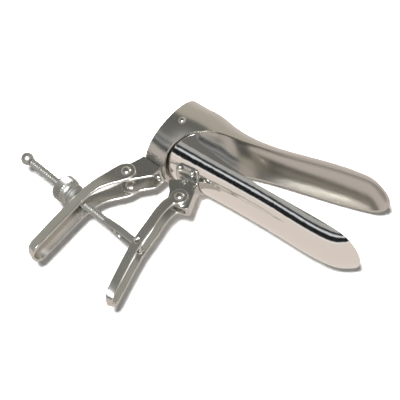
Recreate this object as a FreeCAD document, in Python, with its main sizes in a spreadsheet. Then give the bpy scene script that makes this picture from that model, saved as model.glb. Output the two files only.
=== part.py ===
import FreeCAD, Part
import math
import os
import Sketcher
from FreeCAD import Placement, Rotation, Vector

# Bivalve speculum, lying on its side. The valve hinge is the Z axis and the origin is its
# middle, in the plane of symmetry. X runs along the lower valve towards its tip, and the
# handles hang towards -Y. It is drawn with the valves partly open.

DIMENSIONS = {
    # Sheet metal
    "sheet": 1.2,
    "bracket_sheet": 1.4,
    "handle_sheet": 1.4,
    "seat_clearance": 0.1,
    "turning_clearance": 0.05,
    "stack_clearance": 0.15,
    # Collar of the upper valve
    "collar_radius": 20.0,
    "collar_back": 10.6,
    "collar_waist": 6.6,
    "collar_foot": 1.5,
    # Upper valve
    "upper_opening": 14.2,
    "upper_edge_rise": 1.4,
    "upper_length": 102.6,
    "upper_tip_length": 16.0,
    "upper_depth": 8.1,
    "upper_depth_fore": 7.2,
    "neck_arc": 30.0,
    "neck_start": 24.5,
    "blade_half_width": 14.5,
    # Lower valve
    "ring_gap": 0.8,
    "lower_ring_back": 6.2,
    "lower_edge_drop": 6.7,
    "lower_length": 106.9,
    "lower_tip_length": 16.0,
    "lower_depth": 8.9,
    "lower_axis_rise": 0.7,
    "ear_radius": 5.2,
    # Rivets
    "hinge_shank": 1.35,
    "hinge_head": 1.95,
    "handle_shank": 1.7,
    "handle_head": 2.5,
    "seam_shank": 0.9,
    "seam_head": 1.5,
    "head_height": 1.1,
    # Brackets, as half widths over their outer faces
    "upper_bracket_half": 5.6,
    "lower_bracket_half": 3.0,
    "saddle_half": 9.6,
    "saddle_sheet": 0.9,
    # Handle pivots
    "upper_pin_x": -11.6,
    "upper_pin_y": -31.1,
    "lower_pin_x": 17.6,
    "lower_pin_y": -27.2,
    "upper_eye": 4.6,
    "lower_eye": 4.3,
    # Screw
    "screw_pin_x": 18.0,
    "screw_pin_y": -58.0,
    "screw_slope": 6.34,
    "screw_length": 80.3,
    "thread_radius": 1.95,
    "thread_depth": 0.28,
    "thread_pitch": 1.0,
    "fork_half_width": 3.8,
    "fork_slot_half": 2.2,
    "fork_height": 3.2,
    "fork_length": 21.8,
    "fork_nose": 1.6,
    "fork_pin_radius": 1.1,
    "ball_radius": 3.1,
    # Nut and washer
    "washer_start": 43.0,
    "washer_radius": 5.2,
    "washer_nose": 7.0,
    "washer_thickness": 2.4,
    "nut_boss_radius": 5.7,
    "nut_boss_length": 3.2,
    "knurl_radius": 6.25,
    "knurl_length": 6.2,
}

THROUGH_ALL = 1
FAR = 200.0

doc = FreeCAD.newDocument("speculum")
sheet = doc.addObject("Spreadsheet::Sheet", "Sizes")
for row, (alias, value) in enumerate(DIMENSIONS.items(), start=1):
    sheet.set("A%d" % row, alias)
    sheet.set("B%d" % row, str(value))
    sheet.setAlias("B%d" % row, alias)
doc.recompute()


def size(alias):
    return float(sheet.get(alias))


def cell(alias):
    return "Sizes." + alias


def new_body(name):
    body = doc.addObject("PartDesign::Body", name)
    body.Label = name
    return body


def plane_of(body, role):
    return [feature for feature in body.Origin.OriginFeatures if feature.Role == role][0]


def new_sketch(body, name, role, offset=None):
    sketch = body.newObject("Sketcher::SketchObject", name)
    sketch.AttachmentSupport = (plane_of(body, role), [""])
    sketch.MapMode = "FlatFace"
    if offset is not None:
        sketch.AttachmentOffset = offset
    return sketch


def add_circle(sketch, radius_text, radius, x=0.0, y=0.0):
    index = sketch.addGeometry(Part.Circle(Vector(x, y, 0), Vector(0, 0, 1), radius))
    if x == 0.0 and y == 0.0:
        sketch.addConstraint(Sketcher.Constraint("Coincident", index, 3, -1, 1))
    else:
        sketch.addConstraint(Sketcher.Constraint("DistanceX", -1, 1, index, 3, x))
        sketch.addConstraint(Sketcher.Constraint("DistanceY", -1, 1, index, 3, y))
    number = sketch.addConstraint(Sketcher.Constraint("Radius", index, radius))
    sketch.setExpression("Constraints[%d]" % number, radius_text)


def add_rectangle(sketch, width_text, height_text, width, height):
    half_w = width / 2
    half_h = height / 2
    corners = [(-half_w, -half_h), (half_w, -half_h), (half_w, half_h), (-half_w, half_h)]
    points = [Vector(x, y, 0) for x, y in corners]
    for index in range(4):
        sketch.addGeometry(Part.LineSegment(points[index], points[(index + 1) % 4]))
    for index in range(4):
        sketch.addConstraint(Sketcher.Constraint("Coincident", index, 2, (index + 1) % 4, 1))
    for index, kind in enumerate(["Horizontal", "Vertical", "Horizontal", "Vertical"]):
        sketch.addConstraint(Sketcher.Constraint(kind, index))
    sketch.addConstraint(Sketcher.Constraint("Symmetric", 0, 1, 1, 2, -1, 1))
    number = sketch.addConstraint(Sketcher.Constraint("DistanceX", 0, 1, 0, 2, width))
    sketch.setExpression("Constraints[%d]" % number, width_text)
    number = sketch.addConstraint(Sketcher.Constraint("DistanceY", 1, 1, 1, 2, height))
    sketch.setExpression("Constraints[%d]" % number, height_text)


def add_outline(sketch, points):
    # A point is (x, y), and (x, y, via_x, via_y) ends an arc that passes the via point.
    ends = [Vector(point[0], point[1], 0) for point in points]
    for index, point in enumerate(points):
        start = ends[index - 1]
        if len(point) == 4:
            sketch.addGeometry(Part.Arc(start, Vector(point[2], point[3], 0), ends[index]))
        else:
            sketch.addGeometry(Part.LineSegment(start, ends[index]))
    count = len(points)
    for index in range(count):
        following = (index + 1) % count
        first_end = end_of(sketch, index, ends[index])
        next_start = end_of(sketch, following, ends[index])
        sketch.addConstraint(Sketcher.Constraint("Coincident", index, first_end, following, next_start))


def end_of(sketch, index, point):
    # An arc of a sketch runs counter-clockwise, so either of its ends can be the joined one.
    return 1 if sketch.getPoint(index, 1).distanceToPoint(point) < 1e-6 else 2


def pocket_through(body, sketch, name):
    before = body.Shape.Volume
    pocket = body.newObject("PartDesign::Pocket", name)
    pocket.Profile = sketch
    pocket.Type = THROUGH_ALL
    pocket.Midplane = True
    doc.recompute()
    if body.Shape.Volume >= before - 1e-6:
        raise RuntimeError(name + " cuts nothing")
    return pocket


def symmetric_pad(body, sketch, name, length_text, length):
    pad = body.newObject("PartDesign::Pad", name)
    pad.Profile = sketch
    pad.Midplane = True
    pad.Length = length
    pad.setExpression("Length", length_text)
    doc.recompute()
    return pad


def turned(body, name, outline):
    # The outline is drawn as (along X, radius) and turned about the X axis.
    sketch = new_sketch(body, name + "_outline", "XY_Plane")
    add_outline(sketch, outline)
    doc.recompute()
    turn = body.newObject("PartDesign::Revolution", name)
    turn.Profile = sketch
    turn.ReferenceAxis = (sketch, ["H_Axis"])
    turn.Angle = 360
    doc.recompute()
    return turn


def at_angle(x, y, degrees):
    angle = math.radians(degrees)
    return x * math.cos(angle) - y * math.sin(angle), x * math.sin(angle) + y * math.cos(angle)


# Valves. Each is lofted through circles along its length, outside and inside, and then cut
# to its edge line as seen from the side.


def loft_circles(body, name, stations, change, feature):
    sketches = []
    for number, (x, y, tilt, radius, text) in enumerate(stations):
        offset = Placement(Vector(y, 0, x), Rotation(Vector(0, 1, 0), tilt))
        sketch = new_sketch(body, "%s_%d" % (name, number), "YZ_Plane", offset)
        sign, alias = change
        amount = sign * size(alias)
        add_circle(sketch, "%s + %g * %s" % (text, sign, cell(alias)), radius + amount)
        sketches.append(sketch)
    doc.recompute()
    loft = body.newObject(feature, name)
    loft.Profile = sketches[0]
    loft.Sections = sketches[1:]
    doc.recompute()
    return loft


def arc_radius(half_width, depth):
    return (half_width ** 2 + depth ** 2) / (2 * depth)


def radius_text(depth_alias):
    half = cell("blade_half_width")
    depth = cell(depth_alias)
    return "(%s * %s + %s * %s) / (2 * %s)" % (half, half, depth, depth, depth)


def tip_depths(depth):
    # The crown falls towards the tip as a parabola, and a little beyond it.
    return [(share, depth * (1 - share ** 2)) for share in (0.0, 0.35, 0.7, 1.0, 1.15)]


def upper_stations():
    collar = size("collar_radius")
    text = cell("collar_radius")
    stations = [
        (-size("collar_back") - 2.0, 0.0, 0.0, collar, text),
        (-size("collar_back") / 2, 0.0, 0.0, collar, text),
        (0.5, 0.0, 0.0, collar, text),
    ]
    angle = size("upper_opening")
    neck = [(11.0, 17.6, 18.8, 9.0), (21.0, 13.9, 17.4, 13.0), (32.0, 11.1, 16.2, angle)]
    for along, crown, radius, tilt in neck:
        x, y = at_angle(along, crown - radius, angle)
        share = radius / collar
        stations.append((x, y, tilt, radius, "%g * %s" % (share, text)))
    edge = size("upper_edge_rise")
    half = size("blade_half_width")
    fore = size("upper_depth_fore")
    start = size("upper_length") - size("upper_tip_length")
    middle = (32.0 + start) / 2
    radius = arc_radius(half, size("upper_depth"))
    x, y = at_angle(middle, edge + size("upper_depth") - radius, angle)
    stations.append((x, y, angle, radius, radius_text("upper_depth")))
    radius = arc_radius(half, fore)
    for share, depth in tip_depths(fore):
        along = start + share * size("upper_tip_length")
        x, y = at_angle(along, edge + depth - radius, angle)
        stations.append((x, y, angle, radius, radius_text("upper_depth_fore")))
    return stations


def lower_ring_radius():
    # The lower ring turns inside the collar.
    return size("collar_radius") - size("sheet") - size("ring_gap")


def lower_stations():
    ring = lower_ring_radius()
    rise = size("lower_axis_rise")
    text = "(%s - %s - %s)" % (cell("collar_radius"), cell("sheet"), cell("ring_gap"))
    stations = [
        (-size("lower_ring_back") - 2.0, rise, 0.0, ring, text),
        (-3.0, rise, 0.0, ring, text),
        (1.0, rise, 0.0, ring, text),
        (11.0, rise + 0.05, 0.0, 0.967 * ring, "0.967 * " + text),
        (21.0, rise - 0.15, 0.0, 0.918 * ring, "0.918 * " + text),
    ]
    edge = -size("lower_edge_drop")
    depth_full = size("lower_depth")
    radius = arc_radius(size("blade_half_width"), depth_full)
    start = size("lower_length") - size("lower_tip_length")
    for along in (34.0, 0.5 * (34.0 + start)):
        stations.append((along, edge - depth_full + radius, 0.0, radius, radius_text("lower_depth")))
    for share, depth in tip_depths(depth_full):
        along = start + share * size("lower_tip_length")
        stations.append((along, edge - depth + radius, 0.0, radius, radius_text("lower_depth")))
    return stations


def hinge_hole(body, alias, clearance):
    sketch = new_sketch(body, body.Name + "_hinge", "XY_Plane")
    text = "%s + %s" % (cell(alias), clearance)
    extra = 0.0 if clearance == "0" else size("turning_clearance")
    add_circle(sketch, text, size(alias) + extra)
    pocket_through(body, sketch, body.Name + "_hinge_hole")


def make_upper_valve():
    body = new_body("upper_valve")
    stations = upper_stations()
    loft_circles(body, "upper_outside", stations, (0.0, "sheet"), "PartDesign::AdditiveLoft")
    inner = [(-size("collar_back") - 1.0,) + stations[0][1:]] + stations[1:]
    loft_circles(body, "upper_inside", inner, (-1.0, "sheet"), "PartDesign::SubtractiveLoft")
    angle = size("upper_opening")
    rise = size("upper_edge_rise")
    radius = size("neck_arc")
    start = size("neck_start")
    foot_x = size("collar_foot")
    # The neck arc is tangent to the straight edge and comes down to the foot of the collar.
    centre_x, centre_y = at_angle(start, rise - radius, angle)
    reach = centre_x - foot_x
    foot_y = centre_y + math.sqrt(max(radius ** 2 - reach ** 2, 0.0))
    foot_angle = math.atan2(foot_y - centre_y, foot_x - centre_x)
    top_angle = math.radians(90 + angle)
    middle = (foot_angle + top_angle) / 2
    arc_top = at_angle(start, rise, angle)
    arc_middle = (centre_x + radius * math.cos(middle), centre_y + radius * math.sin(middle))
    far_end = at_angle(FAR, rise, angle)
    outline = [
        (foot_x, -FAR),
        (foot_x, foot_y),
        (arc_top[0], arc_top[1], arc_middle[0], arc_middle[1]),
        far_end,
        (far_end[0], -FAR),
    ]
    sketch = new_sketch(body, "upper_edge", "XY_Plane")
    add_outline(sketch, outline)
    doc.recompute()
    pocket_through(body, sketch, "upper_edge_cut")
    back = size("collar_back")
    rim = new_sketch(body, "collar_rim", "XY_Plane")
    side = size("collar_radius") + 5.0
    waist = -size("collar_waist")
    add_outline(rim, [(-FAR, side), (-FAR, -side), (-back - 2.0, -side), (-back, side, waist, 0.0)])
    doc.recompute()
    pocket_through(body, rim, "collar_rim_cut")
    hinge_hole(body, "hinge_shank", cell("turning_clearance"))
    return body


def make_lower_valve():
    body = new_body("lower_valve")
    stations = lower_stations()
    loft_circles(body, "lower_outside", stations, (0.0, "sheet"), "PartDesign::AdditiveLoft")
    inner = [(stations[0][0] - 1.0,) + stations[0][1:]] + stations[1:]
    loft_circles(body, "lower_inside", inner, (-1.0, "sheet"), "PartDesign::SubtractiveLoft")
    drop = -size("lower_edge_drop")
    ear = size("ear_radius")
    back = -size("lower_ring_back")
    # The edge leaves the hinge ear downwards and sweeps into the straight edge of the blade.
    outline = [
        (-FAR, -FAR),
        (back, -FAR),
        (back, -ear * 0.4),
        (ear * 0.8, ear * 0.5, 0.0, ear),
        (13.0, -3.8, 8.2, -1.6),
        (50.0, drop, 31.0, -5.6),
        (FAR, drop),
        (FAR, FAR),
        (-FAR, FAR),
    ]
    sketch = new_sketch(body, "lower_edge", "XY_Plane")
    add_outline(sketch, outline)
    doc.recompute()
    pocket_through(body, sketch, "lower_edge_cut")
    hinge_hole(body, "hinge_shank", "0")
    return body


# Brackets: a channel whose web lies on the valve and whose two flanges carry a handle.


def make_bracket(name, outline, space, half_alias, stations, pin_x, pin_y):
    body = new_body(name + "_channel")
    side = new_sketch(body, name + "_side", "XY_Plane")
    add_outline(side, outline)
    doc.recompute()
    half = size(half_alias)
    symmetric_pad(body, side, name + "_block", "2 * " + cell(half_alias), 2 * half)
    hole = new_sketch(body, name + "_pin", "XY_Plane")
    add_circle(hole, cell("handle_shank"), size("handle_shank"), pin_x, pin_y)
    pocket_through(body, hole, name + "_pin_hole")
    seat = new_body(name + "_seat")
    loft_circles(seat, name + "_seat_form", stations, (1.0, "seat_clearance"), "PartDesign::AdditiveLoft")
    under = new_body(name + "_under")
    block = new_sketch(under, name + "_space", "XY_Plane")
    add_outline(block, space)
    doc.recompute()
    inner = 2 * (half - size("bracket_sheet"))
    text = "2 * (%s - %s)" % (cell(half_alias), cell("bracket_sheet"))
    symmetric_pad(under, block, name + "_space_pad", text, inner)
    loft_circles(under, name + "_web_form", stations, (1.0, "bracket_sheet"), "PartDesign::SubtractiveLoft")
    seated = doc.addObject("Part::Cut", name + "_seated")
    seated.Base = body
    seated.Tool = seat
    hollow = doc.addObject("Part::Cut", name)
    hollow.Base = seated
    hollow.Tool = under
    hollow.Label = name
    doc.recompute()
    return hollow


def upper_bracket_outline():
    x = size("upper_pin_x")
    y = size("upper_pin_y")
    eye = size("upper_eye") - 0.1
    back = -size("collar_back")
    return [
        (back - 0.6, -15.0),
        (back - 0.8, -20.0),
        (x - eye, y + 1.0, back - 2.6, y + 6.6),
        (x + eye * 0.7, y - eye * 0.714, x - eye * 0.5, y - eye * 0.866),
        (-0.9, -26.6),
        (-0.2, -24.6, -0.2, -25.8),
        (0.3, -21.8),
        (0.3, -15.0),
    ]


def lower_bracket_outline():
    return [
        (12.6, -10.0),
        (12.6, -17.6),
        (8.2, -20.6, 10.2, -19.3),
        (7.4, -23.4, 6.9, -21.8),
        (10.9, -26.8),
        (12.8, -30.4),
        (15.6, -32.4, 13.9, -31.9),
        (23.2, -30.9),
        (24.7, -28.9, 24.5, -30.2),
        (19.6, -16.0),
        (19.6, -10.0),
    ]


def add_saddle(channel, stations):
    # A thin plate that lies round the valve and spreads the channel's foot to its rivets.
    body = new_body("saddle_plate")
    plan = new_sketch(body, "saddle_plan", "XZ_Plane")
    half = size("saddle_half")
    round_end = half - 2.4
    add_outline(plan, [
        (7.2, -round_end),
        (9.6, -half, 7.9, -half + 0.7),
        (17.2, -half),
        (19.6, -round_end, 18.9, -half + 0.7),
        (19.6, round_end),
        (17.2, half, 18.9, half - 0.7),
        (9.6, half),
        (7.2, round_end, 7.9, half - 0.7),
    ])
    doc.recompute()
    pad = body.newObject("PartDesign::Pad", "saddle_block")
    pad.Profile = plan
    pad.Length = 30
    doc.recompute()
    form = new_body("saddle_form")
    loft_circles(form, "saddle_form_loft", stations, (1.0, "saddle_sheet"), "PartDesign::AdditiveLoft")
    seat = new_body("saddle_seat")
    loft_circles(seat, "saddle_seat_loft", stations, (1.0, "seat_clearance"), "PartDesign::AdditiveLoft")
    wrapped = doc.addObject("Part::Common", "saddle_wrapped")
    wrapped.Base = body
    wrapped.Tool = form
    plate = doc.addObject("Part::Cut", "saddle")
    plate.Base = wrapped
    plate.Tool = seat
    whole = doc.addObject("Part::Fuse", "lower_bracket_whole")
    channel.Label = "lower_bracket_channel_part"
    whole.Base = channel
    whole.Tool = plate
    whole.Refine = True
    whole.Label = "lower_bracket"
    doc.recompute()
    return whole


# Handles: a flat eye on each side, and a strip that leans over into a dished loop with a
# round end. One side is lofted through rectangles and mirrored. The strip starts a little
# thinner than the eye, so that its faces end inside the eye.


def handle_path(pin_x, pin_y, arm, tip):
    # Each row of the arm: offset from the pin in X and Y, distance from the middle plane,
    # width, and lean. The tip row: offset of its bend's centre, bend radius, width, lean and
    # slope. The strip narrows round the bend, which rounds the loop's end.
    rows = []
    for dx, dy, z, width, lean in arm:
        rows.append((Vector(pin_x + dx, pin_y + dy, z), 0.0, width, lean))
    dx, dy, radius, width, lean, slope = tip
    for turn, share in ((0.0, 1.0), (30.0, 0.93), (60.0, 0.78), (90.0, 0.6)):
        angle = math.radians(turn)
        z = radius * math.cos(angle)
        fall = radius * math.sin(angle)
        centre = Vector(pin_x + dx + slope * fall, pin_y + dy - fall, z)
        rows.append((centre, turn, width * share, lean))
    return rows


def make_handle(name, pin, eye_alias, side, arm, tip):
    # side is the X direction towards which the loop is open: 1 or -1.
    half = new_body(name + "_half")
    pin_x, pin_y = pin
    thickness = size("handle_sheet")
    eye_middle = arm[0][2]
    sketches = []
    for number, (centre, turn, width, lean) in enumerate(handle_path(pin_x, pin_y, arm, tip)):
        angle = math.radians(turn)
        along = Vector(0, -math.cos(angle), -math.sin(angle))
        outward = Vector(0, -math.sin(angle), math.cos(angle))
        tilt = math.radians(lean)
        across = Vector(side * math.cos(tilt), 0, 0) + outward * math.sin(tilt)
        normal = along.cross(across)
        turn_matrix = FreeCAD.Matrix(
            across.x, normal.x, along.x, 0,
            across.y, normal.y, along.y, 0,
            across.z, normal.z, along.z, 0,
            0, 0, 0, 1)
        offset = Placement(centre, Placement(turn_matrix).Rotation)
        sketch = new_sketch(half, "%s_%d" % (name, number), "XY_Plane", offset)
        share = 0.9 if number < 2 else 1.0
        text = "%g * %s" % (share, cell("handle_sheet"))
        add_rectangle(sketch, "%g mm" % width, text, width, share * thickness)
        sketches.append(sketch)
    doc.recompute()
    strip = half.newObject("PartDesign::AdditiveLoft", name + "_strip")
    strip.Profile = sketches[0]
    strip.Sections = sketches[1:]
    doc.recompute()
    eye_offset = Placement(Vector(0, 0, eye_middle), Rotation())
    eye = new_sketch(half, name + "_eye", "XY_Plane", eye_offset)
    add_circle(eye, cell(eye_alias), size(eye_alias), pin_x, pin_y)
    symmetric_pad(half, eye, name + "_eye_pad", cell("handle_sheet"), thickness)
    hole = new_sketch(half, name + "_hole", "XY_Plane")
    text = "%s + %s" % (cell("handle_shank"), cell("turning_clearance"))
    add_circle(hole, text, size("handle_shank") + size("turning_clearance"), pin_x, pin_y)
    pocket_through(half, hole, name + "_pin_hole")
    mirror = doc.addObject("Part::Mirroring", name + "_other_half")
    mirror.Source = half
    mirror.Normal = Vector(0, 0, 1)
    whole = doc.addObject("Part::MultiFuse", name + "_loop")
    whole.Shapes = [half, mirror]
    whole.Refine = True
    doc.recompute()
    return whole


def make_upper_handle():
    middle = size("upper_bracket_half") + size("stack_clearance") + size("handle_sheet") / 2
    arm = [
        (-0.8, 2.2, middle, 7.4, 0.0),
        (-1.3, -2.6, middle, 10.4, 0.0),
        (-3.6, -7.0, middle - 0.2, 9.4, 4.0),
        (-6.6, -11.6, middle - 0.8, 7.8, 10.0),
        (-9.0, -17.6, middle - 1.7, 6.8, 16.0),
        (-10.0, -26.0, middle - 2.1, 6.5, 18.0),
        (-10.2, -36.0, middle - 2.2, 6.5, 20.0),
        (-10.2, -46.0, middle - 2.2, 6.4, 20.0),
    ]
    tip = (-10.2, -54.2, middle - 2.3, 6.3, 22.0, 0.0)
    pin = (size("upper_pin_x"), size("upper_pin_y"))
    loop = make_handle("upper_handle", pin, "upper_eye", 1, arm, tip)
    loop.Label = "upper_handle"
    return loop


def make_lower_handle():
    middle = size("lower_bracket_half") + size("stack_clearance") + size("handle_sheet") / 2
    arm = [
        (-0.4, 2.0, middle, 6.0, 0.0),
        (-1.9, -4.6, middle, 5.4, 0.0),
        (-2.4, -9.0, middle + 0.2, 4.8, 6.0),
        (-1.2, -18.0, middle + 0.8, 4.5, 14.0),
        (0.5, -30.0, middle + 1.1, 4.4, 18.0),
        (3.1, -41.0, middle + 1.1, 4.4, 20.0),
        (5.8, -50.5, middle + 0.9, 4.4, 20.0),
    ]
    tip = (7.8, -57.2, middle + 0.6, 4.4, 20.0, 0.3)
    loop = make_handle("lower_handle", (size("lower_pin_x"), size("lower_pin_y")), "lower_eye", -1, arm, tip)
    hole = doc.addObject("Part::Cylinder", "fork_pin_bore")
    hole.Height = 40
    hole.setExpression("Radius", cell("fork_pin_radius"))
    hole.Placement = Placement(Vector(size("screw_pin_x"), size("screw_pin_y"), -20), Rotation())
    drilled = doc.addObject("Part::Cut", "lower_handle")
    drilled.Base = loop
    drilled.Tool = hole
    drilled.Label = "lower_handle"
    loop.Label = "lower_handle_blank"
    doc.recompute()
    return drilled


# Rivets are turned about their own axis, head first, and then stood in place.


def make_rivet(name, shank_alias, head_alias, base, top, inner_head, place):
    # base and top are the two faces that the heads bear on, along the rivet's axis.
    body = new_body(name)
    shank = size(shank_alias)
    head = size(head_alias)
    height = size("head_height")
    crown = head * 0.3
    round_at = head * 0.72
    outline = [
        (top, shank),
        (top, head),
        (top + height, crown, top + height * 0.72, round_at),
        (top + height, 0.0),
    ]
    if inner_head:
        thin = height * 0.5
        outline += [
            (base - thin, 0.0),
            (base - thin, crown),
            (base, head, base - thin * 0.72, round_at),
            (base, shank),
        ]
    else:
        outline += [(base, 0.0), (base, shank)]
    turned(body, name + "_turned", outline)
    body.Placement = place
    doc.recompute()
    return body


def upright(x, y, side):
    # A rivet's axis along +Z on the near side, and along -Z on the far side.
    direction = Vector(0, 0, side)
    return Placement(Vector(x, y, 0), Rotation(Vector(1, 0, 0), direction))


def make_rivet_pairs():
    sheet_metal = size("sheet")
    inside = lower_ring_radius() - sheet_metal - 0.26
    outside = size("collar_radius") + 0.12
    made = []
    for label, side in (("near", 1), ("far", -1)):
        place = upright(0, 0, side)
        made.append(make_rivet("hinge_rivet_" + label, "hinge_shank", "hinge_head", inside, outside, True, place))
    for which in ("upper", "lower"):
        half = size(which + "_bracket_half")
        base = half - size("bracket_sheet")
        top = half + size("stack_clearance") + size("handle_sheet") + 0.05
        for label, side in (("near", 1), ("far", -1)):
            place = upright(size(which + "_pin_x"), size(which + "_pin_y"), side)
            name = "%s_handle_rivet_%s" % (which, label)
            made.append(make_rivet(name, "handle_shank", "handle_head", base, top, True, place))
    return made


def valve_surface(stations, x):
    # Radius and axis height of a valve's outside at a place between its first stations.
    for first, second in zip(stations, stations[1:]):
        if first[0] <= x <= second[0]:
            share = (x - first[0]) / (second[0] - first[0])
            radius = first[3] + share * (second[3] - first[3])
            return radius, first[1] + share * (second[1] - first[1])
    return stations[0][3], stations[0][1]


def drill_seams(valve, bracket, name, places):
    # Cuts the seam rivets' holes through both sheets.
    tools = []
    for number, place in enumerate(places):
        drill = doc.addObject("Part::Cylinder", "%s_drill_%d" % (name, number))
        drill.Height = 12
        drill.setExpression("Radius", cell("seam_shank"))
        drill.Placement = place.multiply(Placement(Vector(14, 0, 0), Rotation(Vector(0, 0, 1), Vector(1, 0, 0))))
        tools.append(drill)
    group = doc.addObject("Part::MultiFuse", name + "_drills")
    group.Shapes = tools
    results = []
    for target in (valve, bracket):
        label = target.Label
        target.Label = label + "_blank"
        cut = doc.addObject("Part::Cut", label + "_drilled")
        cut.Base = target
        cut.Tool = group
        cut.Label = label
        results.append(cut)
    doc.recompute()
    return results


def seam_places(stations, along, lean):
    # The rivets' axes point outwards from the valve's axis, to both sides of the lowest line.
    places = []
    for x in along:
        axis_height = valve_surface(stations, x)[1]
        for side in (-1, 1):
            angle = math.radians(side * lean)
            direction = Vector(0, -math.cos(angle), math.sin(angle))
            places.append(Placement(Vector(x, axis_height, 0), Rotation(Vector(1, 0, 0), direction)))
    return places


def make_seam_rivets(name, stations, along, places, inner_head):
    rivets = []
    web = size("seat_clearance") + size("bracket_sheet")
    for number, place in enumerate(places):
        radius = valve_surface(stations, along[number // 2])[0]
        base = radius - size("sheet") - (0.2 if inner_head else -0.25)
        rivet_name = "%s_%d" % (name, number)
        top = radius + web + 0.12
        rivets.append(make_rivet(rivet_name, "seam_shank", "seam_head", base, top, inner_head, place))
    group = doc.addObject("Part::Compound", name)
    group.Links = rivets
    group.Label = name
    doc.recompute()
    return group


# Screw: everything on it is drawn along +X from the fork's pin, and then laid in place.


def screw_place():
    turn = Rotation(Vector(0, 0, 1), 180 - size("screw_slope"))
    return Placement(Vector(size("screw_pin_x"), size("screw_pin_y"), 0), turn)


def make_fork():
    body = new_body("screw_fork")
    half = size("fork_half_width")
    end = size("fork_length")
    nose = size("fork_nose")
    slot = size("fork_slot_half")
    neck = size("thread_radius") + 0.5
    shoulder = end * 0.56
    outline = [
        (shoulder, -half),
        (end - 2.5, -neck, end * 0.76, -half * 0.84),
        (end, -neck),
        (end, neck),
        (end - 2.5, neck),
        (shoulder, half, end * 0.76, half * 0.84),
        (-nose + 1.2, half),
        (-nose, half - 1.4, -nose + 0.4, half - 0.45),
        (-nose, slot),
        (shoulder, slot),
        (shoulder, -slot, shoulder + slot, 0.0),
        (-nose, -slot),
        (-nose, -half + 1.4),
        (-nose + 1.2, -half, -nose + 0.4, -half + 0.45),
    ]
    sketch = new_sketch(body, "fork_plan", "XZ_Plane")
    add_outline(sketch, outline)
    doc.recompute()
    symmetric_pad(body, sketch, "fork_block", cell("fork_height"), size("fork_height"))
    pin = new_sketch(body, "fork_pin_sketch", "XY_Plane")
    text = "%s + %s" % (cell("fork_pin_radius"), cell("turning_clearance"))
    add_circle(pin, text, size("fork_pin_radius") + size("turning_clearance"))
    pocket_through(body, pin, "fork_pin_hole")
    socket = new_sketch(body, "fork_socket", "YZ_Plane", Placement(Vector(0, 0, end - 5.0), Rotation()))
    add_circle(socket, cell("thread_radius"), size("thread_radius"))
    doc.recompute()
    bore = body.newObject("PartDesign::Pocket", "fork_socket_bore")
    bore.Profile = socket
    bore.Length = 10
    bore.Reversed = True
    doc.recompute()
    body.Placement = screw_place()
    return body


def make_rod():
    # The thread is drawn as rings of the thread's own depth and pitch.
    body = doc.addObject("Part::Feature", "threaded_rod")
    crest = size("thread_radius")
    root = crest - size("thread_depth")
    pitch = size("thread_pitch")
    start = size("fork_length") - 5.0
    thread_start = size("fork_length") + 0.6
    end = size("screw_length") - size("ball_radius") * 0.3
    thread_end = size("screw_length") - size("ball_radius") - 0.8
    points = [Vector(start, 0, 0), Vector(start, crest, 0), Vector(thread_start, crest, 0)]
    turns = int((thread_end - thread_start) / pitch)
    for number in range(turns):
        x = thread_start + number * pitch
        points.append(Vector(x + pitch * 0.3, root, 0))
        points.append(Vector(x + pitch * 0.5, root, 0))
        points.append(Vector(x + pitch * 0.8, crest, 0))
        points.append(Vector(x + pitch, crest, 0))
    points += [Vector(end, crest, 0), Vector(end, 0, 0), Vector(start, 0, 0)]
    face = Part.Face(Part.makePolygon(points))
    body.Shape = face.revolve(Vector(0, 0, 0), Vector(1, 0, 0), 360)
    body.Placement = screw_place()
    body.Label = "threaded_rod"
    return body


def make_ball():
    ball = doc.addObject("Part::Sphere", "ball_form")
    ball.setExpression("Radius", cell("ball_radius"))
    ball.Placement = Placement(Vector(size("screw_length"), 0, 0), Rotation())
    bore = doc.addObject("Part::Cylinder", "ball_bore")
    bore.setExpression("Radius", cell("thread_radius"))
    bore.Height = size("ball_radius") * 3
    end = size("screw_length") - size("ball_radius") * 0.3
    bore.Placement = Placement(Vector(end, 0, 0), Rotation(Vector(0, 0, 1), Vector(-1, 0, 0)))
    cut = doc.addObject("Part::Cut", "stop_ball")
    cut.Base = ball
    cut.Tool = bore
    cut.Placement = screw_place()
    cut.Label = "stop_ball"
    doc.recompute()
    return cut


def make_washer():
    body = new_body("thrust_washer")
    start = size("washer_start")
    nose = size("washer_nose")
    bore = size("thread_radius") + size("turning_clearance")
    rim = size("washer_radius")
    centre = start + math.sqrt(nose ** 2 - bore ** 2)
    rim_front = centre - math.sqrt(nose ** 2 - rim ** 2)
    middle = (bore + rim) / 2
    middle_front = centre - math.sqrt(nose ** 2 - middle ** 2)
    back = start + size("washer_thickness")
    outline = [
        (start, bore),
        (rim_front, rim, middle_front, middle),
        (back, rim),
        (back, bore),
    ]
    turned(body, "washer_turned", outline)
    body.Placement = screw_place()
    return body


def make_nut():
    body = new_body("knurled_nut")
    bore = size("thread_radius") + size("turning_clearance")
    start = size("washer_start") + size("washer_thickness") + 0.1
    boss = size("nut_boss_radius")
    drum_start = start + size("nut_boss_length")
    drum_end = drum_start + size("knurl_length")
    knurl = size("knurl_radius")
    length = size("nut_boss_length")
    outline = [
        (start, bore),
        (start, boss - 0.4),
        (start + 0.4, boss),
        (start + length * 0.38, boss),
        (start + length * 0.56, boss - 0.9),
        (start + length * 0.72, boss - 0.9),
        (drum_start, boss - 0.3),
        (drum_start, knurl - 0.6),
        (drum_start + 0.6, knurl),
        (drum_end - 0.6, knurl),
        (drum_end, knurl - 0.6),
        (drum_end, bore + 0.5),
        (drum_end - 0.5, bore),
    ]
    turned(body, "nut_turned", outline)
    body.Placement = screw_place()
    return body


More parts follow.
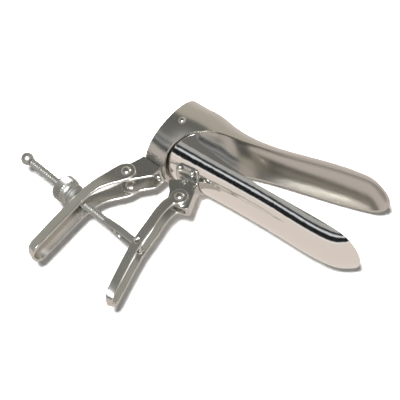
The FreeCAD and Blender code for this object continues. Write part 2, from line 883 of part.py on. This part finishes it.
def make_fork_pin():
    pin = doc.addObject("Part::Cylinder", "fork_pin")
    length = 2 * (size("fork_half_width") + size("handle_sheet"))
    pin.Height = length
    pin.setExpression("Radius", cell("fork_pin_radius"))
    pin.Placement = Placement(Vector(size("screw_pin_x"), size("screw_pin_y"), -length / 2), Rotation())
    pin.Label = "fork_pin"
    return pin


# The space between a channel's flanges, as seen from the side. The lower channel keeps a web
# along its distal edge.
OPEN_SPACE = [(-60, -60), (60, -60), (60, 0), (-60, 0)]
WEBBED_SPACE = [(-60, -60), (23.3, -60), (23.3, -28.9), (18.2, -16.0), (18.2, 0), (-60, 0)]

upper_line = upper_stations()
lower_line = lower_stations()
upper_valve = make_upper_valve()
lower_valve = make_lower_valve()
upper_pin = (size("upper_pin_x"), size("upper_pin_y"))
lower_pin = (size("lower_pin_x"), size("lower_pin_y"))
upper_bracket = make_bracket(
    "upper_bracket", upper_bracket_outline(), OPEN_SPACE, "upper_bracket_half", upper_line, *upper_pin)
lower_bracket = make_bracket(
    "lower_bracket", lower_bracket_outline(), WEBBED_SPACE, "lower_bracket_half", lower_line[:7], *lower_pin)
lower_bracket = add_saddle(lower_bracket, lower_line[:7])
UPPER_SEAM = [-5.6, -1.8]
LOWER_SEAM = [9.6, 16.6]
upper_places = seam_places(upper_line, UPPER_SEAM, 7.0)
lower_places = seam_places(lower_line, LOWER_SEAM, 26.0)
upper_valve, upper_bracket = drill_seams(upper_valve, upper_bracket, "upper_seam", upper_places)
lower_valve, lower_bracket = drill_seams(lower_valve, lower_bracket, "lower_seam", lower_places)
parts = [upper_valve, lower_valve, upper_bracket, lower_bracket]
parts.append(make_seam_rivets("upper_bracket_rivets", upper_line, UPPER_SEAM, upper_places, False))
parts.append(make_seam_rivets("lower_bracket_rivets", lower_line, LOWER_SEAM, lower_places, True))
parts += [make_upper_handle(), make_lower_handle()]
parts += make_rivet_pairs()
parts += [make_fork(), make_rod(), make_ball(), make_washer(), make_nut(), make_fork_pin()]
doc.recompute()

for item in doc.Objects:
    if "Invalid" in item.State or "Error" in item.State:
        raise RuntimeError("%s failed: %s" % (item.Label, item.State))
for part in parts:
    if part.Shape.isNull() or not part.Shape.isValid():
        raise RuntimeError(part.Label + " has no valid shape")

os.makedirs("parts", exist_ok=True)
for part in parts:
    part.Shape.exportStep("parts/%s.step" % part.Label)
    print("%-26s %2d solids  %9.1f mm3" % (part.Label, len(part.Shape.Solids), part.Shape.Volume))
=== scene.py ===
import math

import bmesh
import bpy
from mathutils import Matrix, Vector


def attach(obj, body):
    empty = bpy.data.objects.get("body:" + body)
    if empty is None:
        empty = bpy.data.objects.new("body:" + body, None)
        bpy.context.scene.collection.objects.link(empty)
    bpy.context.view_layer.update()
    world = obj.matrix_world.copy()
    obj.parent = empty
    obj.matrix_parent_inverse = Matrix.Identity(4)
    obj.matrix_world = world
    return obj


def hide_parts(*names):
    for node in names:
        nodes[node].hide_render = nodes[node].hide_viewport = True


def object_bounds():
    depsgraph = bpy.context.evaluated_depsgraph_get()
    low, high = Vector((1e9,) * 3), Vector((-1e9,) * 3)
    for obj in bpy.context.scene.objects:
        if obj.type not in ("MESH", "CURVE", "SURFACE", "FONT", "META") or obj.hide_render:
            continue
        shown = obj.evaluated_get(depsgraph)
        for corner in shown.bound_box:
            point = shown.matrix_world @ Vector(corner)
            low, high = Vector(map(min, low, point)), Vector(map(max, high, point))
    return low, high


# Bivalve speculum lying on its side on a white table. Units are metres, and the frame is the
# CAD's: the hinge of the valves is the Z axis, X runs along the lower valve.

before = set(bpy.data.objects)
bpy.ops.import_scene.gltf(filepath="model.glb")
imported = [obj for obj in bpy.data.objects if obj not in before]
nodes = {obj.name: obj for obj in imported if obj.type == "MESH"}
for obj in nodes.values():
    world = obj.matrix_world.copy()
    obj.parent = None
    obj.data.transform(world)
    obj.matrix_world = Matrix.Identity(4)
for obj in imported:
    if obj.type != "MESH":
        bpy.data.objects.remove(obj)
cad_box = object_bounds()

MM = 0.001

# Camera, as the photograph shows the instrument
CAMERA_RIGHT = Vector((0.761, 0.630, -0.155))
CAMERA_UP = Vector((-0.446, 0.683, 0.577))
CAMERA_DISTANCE = 0.9
FIELD_WIDTH = 190.75 * MM
FRAME_SHIFT_RIGHT = 5.29 * MM
FRAME_SHIFT_UP = -25.75 * MM
SENSOR_WIDTH = 36.0

# Screw: its pin, its lie, and places measured along it from the pin
SCREW_PIN = Vector((18.0, -58.0, 0.0)) * MM
SCREW_TURN = math.radians(180 - 6.34)
ROD_START = 17.0 * MM
ROD_END = 79.0 * MM
# The real thread and knurl are finer. Both are drawn as coarse as they need to be to show.
THREAD_START = 22.4 * MM
THREAD_TURNS = 39
THREAD_PITCH = 1.4 * MM
THREAD_CREST = 1.95 * MM
THREAD_ROOT = 1.45 * MM
STEPS_PER_TURN = 24
DRUM_START = 49.3 * MM
DRUM_END = 54.3 * MM
DRUM_RADIUS = 6.25 * MM
KNURL_RISE = 0.38 * MM
KNURL_COLUMNS = 36
KNURL_ROWS = 4

# One pitch of the thread: shares of the pitch, and the radius there
THREAD_OUTLINE = [
    (0.0, THREAD_ROOT), (0.35, THREAD_CREST), (0.55, THREAD_CREST), (0.9, THREAD_ROOT), (1.0, THREAD_ROOT)]
THREAD_OVERLAP = 0.8 * MM
THREAD_SHARP = math.radians(30)

# Worn edges: the size of the even mesh, and which pieces have them, with the passes of wear
MERGE = 0.001 * MM
EDGE_VOXEL = 0.30 * MM
WEAR_SHARE = 0.5
WORN_SHARP = math.radians(60)
WORN_PIECES = [
    ("upper_handle", "proximal_handle", "handle_steel", 5),
    ("lower_handle", "distal_handle", "handle_steel", 5),
    ("upper_bracket", "upper_body", "bracket_steel", 3),
    ("lower_bracket", "lower_body", "bracket_steel", 3),
    ("screw_fork", "screw", "screw_steel", 4),
]


def linear(hex_colour):
    # sRGB hex to the linear values that the shaders take.
    values = []
    for place in (1, 3, 5):
        part = int(hex_colour[place:place + 2], 16) / 255
        values.append(part / 12.92 if part <= 0.04045 else ((part + 0.055) / 1.055) ** 2.4)
    return (*values, 1.0)


def add_node(tree, kind, settings=None, inputs=None):
    node = tree.nodes.new(kind)
    for name, value in (settings or {}).items():
        setattr(node, name, value)
    for name, value in (inputs or {}).items():
        if isinstance(value, bpy.types.NodeSocket):
            tree.links.new(value, node.inputs[name])
        else:
            node.inputs[name].default_value = value
    return node


def new_material(name):
    material = bpy.data.materials.new(name)
    material.use_nodes = True
    material.node_tree.nodes.clear()
    return material


def steel(name, colour, roughness, wear_mm, wear_height_mm):
    # Stainless steel: a grey mirror whose polish leaves shallow waves and fine wear.
    material = new_material(name)
    tree = material.node_tree
    place = add_node(tree, "ShaderNodeTexCoord")
    wear = add_node(tree, "ShaderNodeTexNoise", None, {
        "Vector": place.outputs["Object"], "Scale": 1 / (wear_mm * MM), "Detail": 3.0, "Roughness": 0.6})
    bump = add_node(tree, "ShaderNodeBump", None, {
        "Height": wear.outputs["Fac"], "Strength": 1.0, "Distance": wear_height_mm * MM})
    shader = add_node(tree, "ShaderNodeBsdfPrincipled", None, {
        "Base Color": linear(colour), "Metallic": 1.0, "Roughness": roughness,
        "Normal": bump.outputs["Normal"]})
    add_node(tree, "ShaderNodeOutputMaterial", None, {"Surface": shader.outputs["BSDF"]})
    return material


# Each steel: its colour, roughness, and the width and height of its wear in millimetres.
# The lower valve is buffed to a mirror, so its reflections have sharp borders.
mirror_steel = steel("mirror_polished_steel", "#E4E2DE", 0.10, 9.0, 0.006)
# The collar and upper valve are buffed less, so reflections melt into broad soft bands. Their colour is
# darker than the lower valve's as painted shade, for the darker reflections and shade on the collar and
# inside the upper valve.
painted_shade_collar_steel = steel("buffed_collar_steel", "#BDBCB7", 0.24, 7.0, 0.006)
# The brackets are polished after bending, which leaves small uneven glints.
bracket_steel = steel("polished_bracket_steel", "#C6C6C2", 0.20, 3.0, 0.020)
# The handles are satin from tumbling, with slow waves along the strips.
handle_steel = steel("satin_handle_steel", "#CCCBC6", 0.24, 6.0, 0.030)
# The screw and nut are turned, with fine tool marks that scatter the light.
screw_steel = steel("turned_screw_steel", "#A6A7A4", 0.40, 4.0, 0.002)
# Rivet heads are hammered round, which leaves them dimpled.
rivet_steel = steel("peened_rivet_steel", "#C8C7C2", 0.22, 1.0, 0.030)

FINISHES = {
    "upper_valve": painted_shade_collar_steel,
    "lower_valve": mirror_steel,
    "upper_bracket": bracket_steel,
    "lower_bracket": bracket_steel,
    "upper_handle": handle_steel,
    "lower_handle": handle_steel,
    "screw_fork": screw_steel,
    "threaded_rod": screw_steel,
    "stop_ball": screw_steel,
    "thrust_washer": screw_steel,
    "knurled_nut": screw_steel,
}

for node_name, piece in nodes.items():
    finish = FINISHES.get(node_name, rivet_steel)
    piece.data.materials.clear()
    piece.data.materials.append(finish)


# New pieces


def link_object(name, data):
    made = bpy.data.objects.new(name, data)
    bpy.context.scene.collection.objects.link(made)
    return made


def finished_piece(name, form, body, material):
    mesh = bpy.data.meshes.new(name)
    form.to_mesh(mesh)
    form.free()
    mesh.materials.append(material)
    piece = link_object(name, mesh)
    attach(piece, body)
    return piece


def shade_smooth(piece, angle):
    for face in piece.data.polygons:
        face.use_smooth = True
    piece.data.set_sharp_from_angle(angle=angle)


def wear_edges_round(node_name, body, slot_name, passes):
    # Tumbled and polished edges: a copy of the CAD piece with its sharp edges worn round.
    form = bmesh.new()
    form.from_mesh(nodes[node_name].data)
    bmesh.ops.remove_doubles(form, verts=form.verts, dist=MERGE)
    piece = finished_piece(node_name + "_polished", form, body, FINISHES[node_name])
    remesh = piece.modifiers.new("even_mesh", "REMESH")
    remesh.mode = "VOXEL"
    remesh.voxel_size = EDGE_VOXEL
    wear = piece.modifiers.new("worn_edges", "SMOOTH")
    wear.factor = WEAR_SHARE
    wear.iterations = passes
    graph = bpy.context.evaluated_depsgraph_get()
    worn = bpy.data.meshes.new_from_object(piece.evaluated_get(graph))
    piece.modifiers.clear()
    piece.data = worn
    shade_smooth(piece, WORN_SHARP)
    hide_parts(node_name)


def lay_along_screw(form):
    place = Matrix.Translation(SCREW_PIN) @ Matrix.Rotation(SCREW_TURN, 4, "Z")
    bmesh.ops.transform(form, matrix=place, verts=form.verts)


def add_plain_round(form, start, end, radius, segments):
    # A cylinder along +X between two places.
    lie = Matrix.Translation(((start + end) / 2, 0, 0)) @ Matrix.Rotation(math.radians(90), 4, "Y")
    bmesh.ops.create_cone(
        form, cap_ends=True, segments=segments, radius1=radius, radius2=radius,
        depth=end - start, matrix=lie)


def make_thread():
    # One pitch of the thread's outline, turned along the rod as a real helix.
    form = bmesh.new()
    points = []
    for share, radius in THREAD_OUTLINE:
        points.append(form.verts.new((THREAD_START + share * THREAD_PITCH, radius, 0)))
    edges = [form.edges.new(pair) for pair in zip(points, points[1:])]
    bmesh.ops.spin(
        form, geom=points + edges, cent=(0, 0, 0), axis=(1, 0, 0),
        dvec=(THREAD_PITCH / STEPS_PER_TURN, 0, 0), angle=2 * math.pi * THREAD_TURNS,
        steps=STEPS_PER_TURN * THREAD_TURNS, use_duplicate=False)
    bmesh.ops.remove_doubles(form, verts=form.verts, dist=MERGE)
    bmesh.ops.holes_fill(form, edges=form.edges, sides=0)
    bmesh.ops.recalc_face_normals(form, faces=form.faces)
    add_plain_round(form, ROD_START, THREAD_START + THREAD_OVERLAP, THREAD_CREST, STEPS_PER_TURN)
    thread_end = THREAD_START + THREAD_TURNS * THREAD_PITCH
    add_plain_round(form, thread_end, ROD_END, THREAD_CREST, STEPS_PER_TURN)
    lay_along_screw(form)
    rod = finished_piece("rod_thread", form, "screw", screw_steel)
    shade_smooth(rod, THREAD_SHARP)
    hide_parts("threaded_rod")


def make_knurl():
    # A sleeve of raised diamonds over the nut's drum.
    form = bmesh.new()
    add_plain_round(form, DRUM_START, DRUM_END, DRUM_RADIUS, 2 * KNURL_COLUMNS)
    row_height = (DRUM_END - DRUM_START) / (2 * KNURL_ROWS)
    column_angle = math.pi / KNURL_COLUMNS
    long_edges = []
    for edge in form.edges:
        if abs(edge.verts[0].co.x - edge.verts[1].co.x) > row_height:
            long_edges.append(edge)
    bmesh.ops.subdivide_edges(form, edges=long_edges, cuts=2 * KNURL_ROWS - 1)
    stretch = 1 + KNURL_RISE / DRUM_RADIUS
    for vertex in form.verts:
        row = round((vertex.co.x - DRUM_START) / row_height)
        column = round(math.atan2(vertex.co.z, vertex.co.y) / column_angle)
        inside = 0 < row < 2 * KNURL_ROWS
        if inside and (row + column) % 2 == 0:
            vertex.co.y *= stretch
            vertex.co.z *= stretch
    lay_along_screw(form)
    finished_piece("nut_knurl", form, "nut", screw_steel)


make_thread()
make_knurl()
for worn_piece in WORN_PIECES:
    wear_edges_round(*worn_piece)


# Studio. The polished metal sees a room of card: a beige table, grey walls and ceiling, and
# black and white strips in front. Only reflections show these cards.


def emission(name, colour, strength):
    material = new_material(name)
    tree = material.node_tree
    glow = add_node(tree, "ShaderNodeEmission", None, {"Color": linear(colour), "Strength": strength})
    add_node(tree, "ShaderNodeOutputMaterial", None, {"Surface": glow.outputs["Emission"]})
    return material


def board(name, centre, facing, width, height, material):
    # A flat rectangle that faces a direction. Its height runs as near to +Z as it can.
    form = bmesh.new()
    bmesh.ops.create_grid(form, x_segments=1, y_segments=1, size=0.5)
    bmesh.ops.scale(form, vec=(width, height, 1.0), verts=form.verts)
    turn = Vector(facing).to_track_quat("Z", "Y").to_matrix().to_4x4()
    bmesh.ops.transform(form, matrix=Matrix.Translation(centre) @ turn, verts=form.verts)
    mesh = bpy.data.meshes.new(name)
    form.to_mesh(mesh)
    form.free()
    mesh.materials.append(material)
    made = link_object(name, mesh)
    return made


def reflection_card(name, centre, facing, width, height, colour):
    made = board(name, centre, facing, width, height, emission(name + "_face", colour, 1.0))
    made.visible_camera = False
    made.visible_diffuse = False
    made.visible_shadow = False
    made.visible_transmission = False
    return made


FLOOR_GAP = 0.1 * MM
CARD_GAP = 2 * MM
FLOOR_HEIGHT = cad_box[0][2] - FLOOR_GAP
ROOM = 3.0
FRONT = -0.70
BACK = 1.00
LEFT = -1.20
RIGHT = 1.20
CEILING = 1.20

floor_material = new_material("white_table")
floor_tree = floor_material.node_tree
floor_shader = add_node(floor_tree, "ShaderNodeBsdfDiffuse", None, {"Color": linear("#FAFAF8")})
add_node(floor_tree, "ShaderNodeOutputMaterial", None, {"Surface": floor_shader.outputs["BSDF"]})
floor = board("white_table", (0, 0, FLOOR_HEIGHT), (0, 0, 1), 2 * ROOM, 2 * ROOM, floor_material)
floor.visible_glossy = False

reflection_card("beige_table", (0, 0, FLOOR_HEIGHT - CARD_GAP), (0, 0, 1), ROOM, ROOM, "#EDE2DB")
reflection_card("dark_ceiling", (0, 0, CEILING), (0, 0, -1), ROOM, ROOM, "#74736F")
reflection_card("pale_back_wall", (0, BACK, 0), (0, -1, 0), ROOM, ROOM, "#DDD6C9")
reflection_card("olive_left_wall", (LEFT, 0, 0), (1, 0, 0), ROOM, ROOM, "#B3B2AA")
reflection_card("grey_right_wall", (RIGHT, 0, 0), (-1, 0, 0), ROOM, ROOM, "#C9C7C2")

# The front wall's strips, from the table up: where each ends, and its colour
FRONT_STRIPS = [
    (0.177, "#EDE2DB"),
    (0.23, "#FFFFFF"),
    (0.48, "#17181B"),
    (0.60, "#E8ECF2"),
    (0.78, "#2A2C30"),
    (1.20, "#B9B9B7"),
]
FRONT_FOOT = -0.3
strip_start = FRONT_FOOT
for number, (strip_end, strip_colour) in enumerate(FRONT_STRIPS):
    strip_centre = (0, FRONT, (strip_start + strip_end) / 2)
    strip_name = "front_strip_%d" % number
    reflection_card(strip_name, strip_centre, (0, 1, 0), ROOM, strip_end - strip_start, strip_colour)
    strip_start = strip_end

# The world is white to the camera and to reflections, and dimmer as a light.
SKY_LIGHT = 0.20
world = bpy.data.worlds.new("white_studio")
world.use_nodes = True
world_tree = world.node_tree
world_tree.nodes.clear()
path = add_node(world_tree, "ShaderNodeLightPath")
seen = add_node(world_tree, "ShaderNodeMath", {"operation": "MAXIMUM"}, {
    0: path.outputs["Is Camera Ray"], 1: path.outputs["Is Glossy Ray"]})
shown = add_node(world_tree, "ShaderNodeMath", {"operation": "MAXIMUM"}, {
    0: seen.outputs["Value"], 1: path.outputs["Is Transmission Ray"]})
level = add_node(world_tree, "ShaderNodeMapRange", None, {
    "Value": shown.outputs["Value"], "To Min": SKY_LIGHT, "To Max": 1.0})
sky = add_node(world_tree, "ShaderNodeBackground", None, {
    "Color": (1, 1, 1, 1), "Strength": level.outputs["Result"]})
add_node(world_tree, "ShaderNodeOutputWorld", None, {"Surface": sky.outputs["Background"]})
bpy.context.scene.world = world

# The key light stands just above and left of the camera, so the shadow peeps out below right.
right = CAMERA_RIGHT.normalized()
up = (CAMERA_UP - right * CAMERA_UP.dot(right)).normalized()
back = right.cross(up)
KEY_DISTANCE = 1.2
KEY_SIZE = 0.18
KEY_POWER = 34.0
KEY_ABOVE = 0.16
KEY_LEFT = 0.10
key_direction = (back + up * KEY_ABOVE - right * KEY_LEFT).normalized()
key_data = bpy.data.lights.new("key", "AREA")
key_data.size = KEY_SIZE
key_data.energy = KEY_POWER
key = link_object("key", key_data)
key_turn = key_direction.to_track_quat("Z", "Y").to_matrix().to_4x4()
key.matrix_world = Matrix.Translation(key_direction * KEY_DISTANCE) @ key_turn

# Camera
camera_data = bpy.data.cameras.new("photograph_camera")
camera_data.sensor_width = SENSOR_WIDTH
camera_data.lens = SENSOR_WIDTH * CAMERA_DISTANCE / FIELD_WIDTH
camera_data.clip_end = 20.0
camera = link_object("photograph_camera", camera_data)
location = right * FRAME_SHIFT_RIGHT + up * FRAME_SHIFT_UP + back * CAMERA_DISTANCE
camera.matrix_world = Matrix((
    (right.x, up.x, back.x, location.x),
    (right.y, up.y, back.y, location.y),
    (right.z, up.z, back.z, location.z),
    (0, 0, 0, 1)))
bpy.context.scene.camera = camera
bpy.context.scene.view_settings.view_transform = "Standard"
